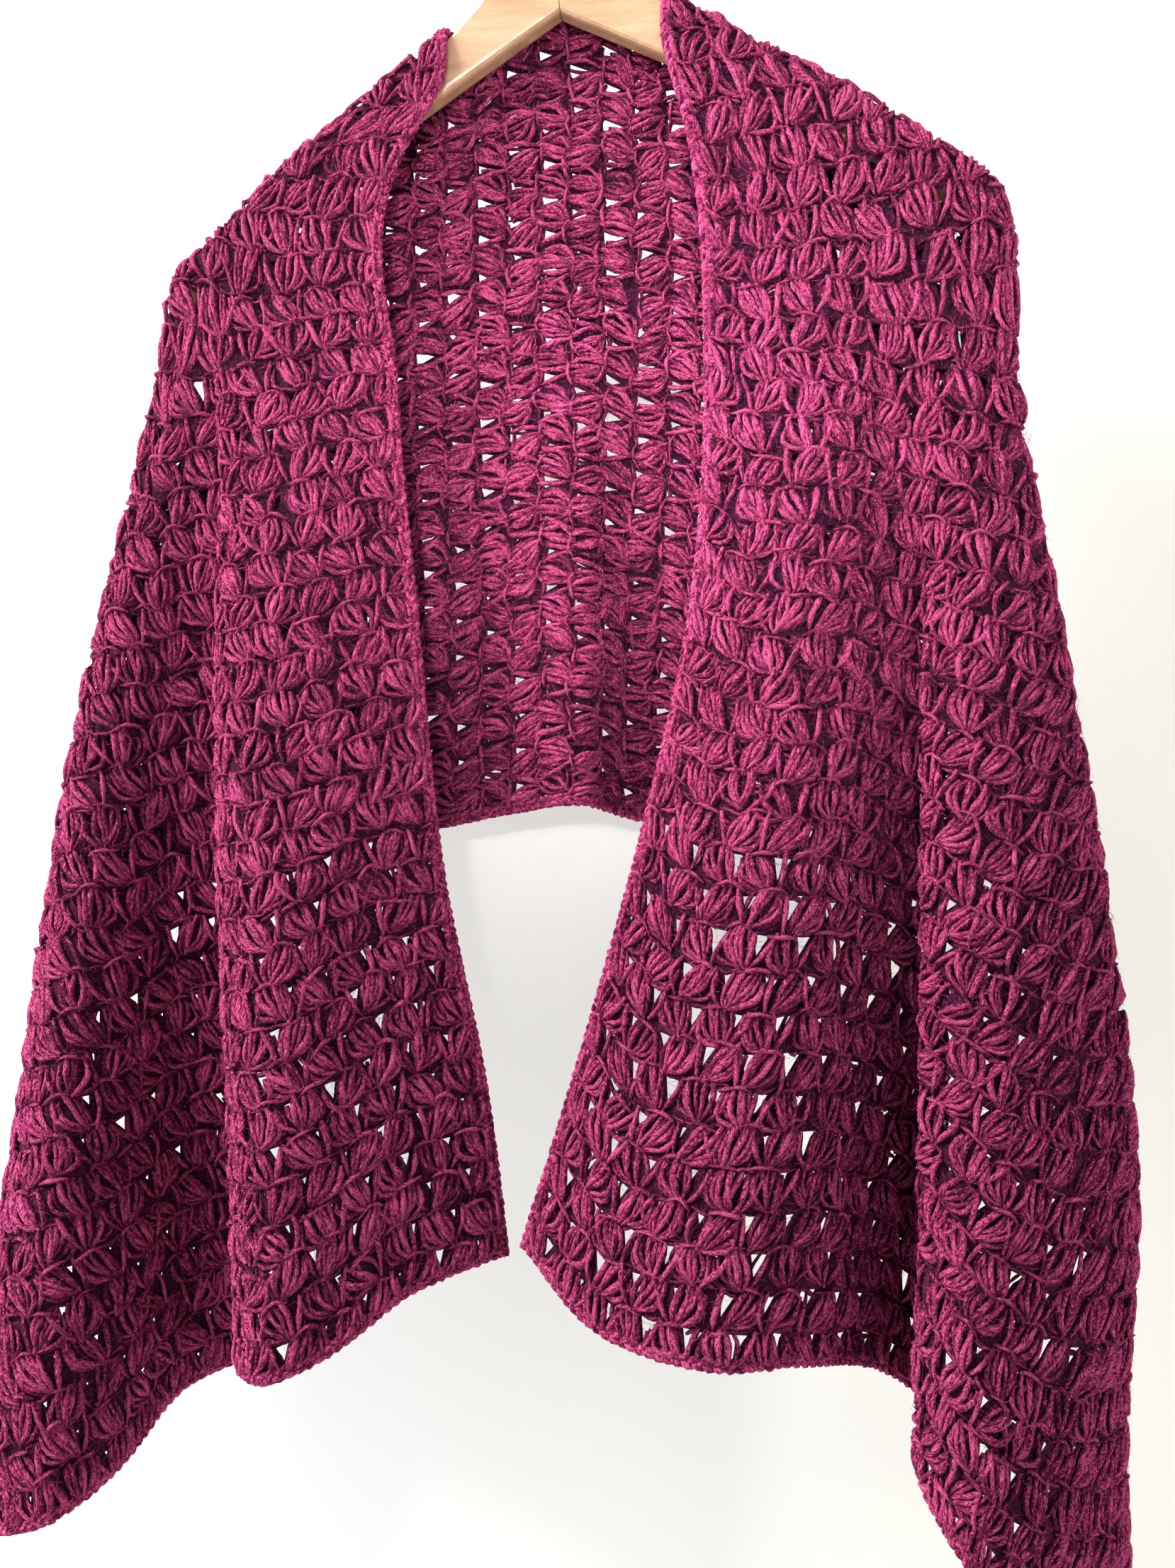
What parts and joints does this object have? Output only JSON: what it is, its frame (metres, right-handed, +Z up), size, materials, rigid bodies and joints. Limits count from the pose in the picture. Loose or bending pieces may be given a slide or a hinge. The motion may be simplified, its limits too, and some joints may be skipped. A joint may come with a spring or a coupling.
{
  "type": "crocheted rectangular shawl on a clothes hanger",
  "caption": "Crocheted wool rectangular shawl draped open over a flat wooden clothes hanger with a steel hook.",
  "frame": {"origin": "the seat of the hook, the inside of its top, where the hanger rests on a rail", "axes": "+Z up, +X to the right as seen from the front, the front with the open edges faces -Y and the back faces +Y"},
  "size_m": [0.6504, 0.1325, 0.9719],
  "materials": {
    "wood": "pale varnished wood with a fine grain",
    "steel": "plain round wire",
    "wool": "fuzzy plied wool, leaning shell crochet, burgundy heather",
    "edging": "the same wool, a chain edging"
  },
  "bodies": {
    "root": {"hanger_arm_left": "wood", "hanger_arm_right": "wood", "hook": "steel", "shawl_back": "wool", "shawl_front_left": "wool", "shawl_front_right": "wool", "edging_front_left": "edging", "edging_front_right": "edging", "edging_end_left": "edging", "edging_end_right": "edging", "edging_side_left": "edging", "edging_side_right": "edging", "edging_neck": "edging", "edging_hem": "edging"}
  },
  "joints": []
}
